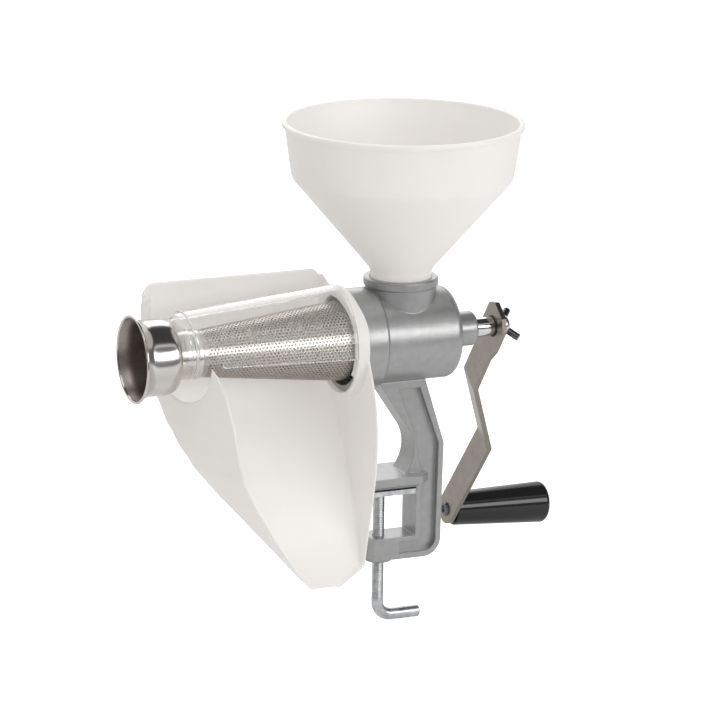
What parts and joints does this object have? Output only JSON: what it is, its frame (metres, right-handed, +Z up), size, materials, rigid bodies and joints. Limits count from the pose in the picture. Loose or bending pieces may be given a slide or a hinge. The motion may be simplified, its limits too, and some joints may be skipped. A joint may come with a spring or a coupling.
{
  "type": "tomato strainer with crank",
  "caption": "Clamp-on tomato strainer: hand crank, tapered auger in a perforated cone, juice chute with clear splash shield, feed hopper",
  "frame": {"origin": "centre of the upper jaw's seat face, on the clamp screw's axis", "axes": "+X along the strainer's axis toward the crank, +Z up toward the hopper, -Y the side that the chute's belly bulges to"},
  "size_m": [0.4527, 0.2799, 0.4265],
  "materials": {
    "cast_paint": "hammered grey-green stove enamel over a rough casting, soft mottled highlights",
    "chrome_steel": "bright polished plating",
    "zinc_steel": "dull grey zinc plating",
    "arm_steel": "satin warm grey flat bar, fine grain along the bar",
    "sheet_steel": "polished sheet metal outside, satin inside",
    "perforated_steel": "sheet metal with small round holes in staggered rows",
    "milky_plastic": "translucent white moulding, fine satin",
    "clear_plastic": "clear glossy moulding",
    "white_plastic": "opaque white moulding",
    "black_plastic": "glossy black moulding",
    "rubber_black": "soft black rubber"
  },
  "bodies": {
    "body_main": {"body_casting": "cast_paint", "jaw_pad": "rubber_black", "rear_bushing": "white_plastic", "shaft_seal": "rubber_black"},
    "body_crank": {"drive_shaft": "chrome_steel", "crank_arm": "arm_steel", "lock_washer": "chrome_steel", "wing_bolt": "chrome_steel", "grip_bolt": "chrome_steel", "grip_washer": "chrome_steel", "grip_nut": "zinc_steel", "auger_spring": "zinc_steel"},
    "body_grip": {"handle_grip": "black_plastic"},
    "body_auger": {"auger": "white_plastic"},
    "body_clamp_plate": {"clamp_plate": "zinc_steel"},
    "body_clamp_screw": {"clamp_screw": "zinc_steel"},
    "body_hopper": {"hopper": "milky_plastic"},
    "body_screen": {"strainer_screen": "perforated_steel", "screen_flange": "sheet_steel", "screen_neck": "sheet_steel", "waste_cup": "sheet_steel"},
    "body_chute": {"juice_chute": "milky_plastic"},
    "body_shield": {"splash_shield": "clear_plastic"}
  },
  "joints": [
    {"name": "crank_spin", "type": "hinge", "parent": "body_main", "child": "body_crank", "pos_m": [0.0165, 0, 0.1255], "axis": [1, 0, 0], "continuous": true},
    {"name": "grip_spin", "type": "hinge", "parent": "body_crank", "child": "body_grip", "pos_m": [0.1397, 0.1589, -0.0816], "axis": [0.9986, 0.0319, -0.0415], "continuous": true},
    {"name": "auger_spring_slide", "type": "slide", "parent": "body_crank", "child": "body_auger", "axis": [1, 0, 0], "range_m": [0, 0.003], "stiffness_N_per_m": 900, "springref_m": -0.004, "deforming": ["auger_spring"]},
    {"name": "clamp_slide", "type": "slide", "parent": "body_main", "child": "body_clamp_plate", "axis": [0, 0, 1], "range_m": [-0.032, 0.002]},
    {"name": "clamp_turn", "type": "hinge", "parent": "body_clamp_plate", "child": "body_clamp_screw", "pos_m": [0, 0, -0.05], "axis": [0, 0, 1], "range_deg": [-7700, 490]},
    {"name": "hopper_lift", "type": "slide", "parent": "body_main", "child": "body_hopper", "axis": [0, 0, 1], "range_m": [0, 0.06]},
    {"name": "screen_pull", "type": "slide", "parent": "body_main", "child": "body_screen", "axis": [-1, 0, 0], "range_m": [0, 0.16]},
    {"name": "chute_turn", "type": "hinge", "parent": "body_screen", "child": "body_chute", "pos_m": [-0.0335, 0, 0.1255], "axis": [1, 0, 0], "range_deg": [-35, 35]},
    {"name": "shield_lift", "type": "slide", "parent": "body_chute", "child": "body_shield", "axis": [0, 0, 1], "range_m": [0, 0.028]}
  ],
  "couplings": [
    {"joint": "clamp_turn", "follows": "clamp_slide", "rad_per_m": 4188.8}
  ]
}
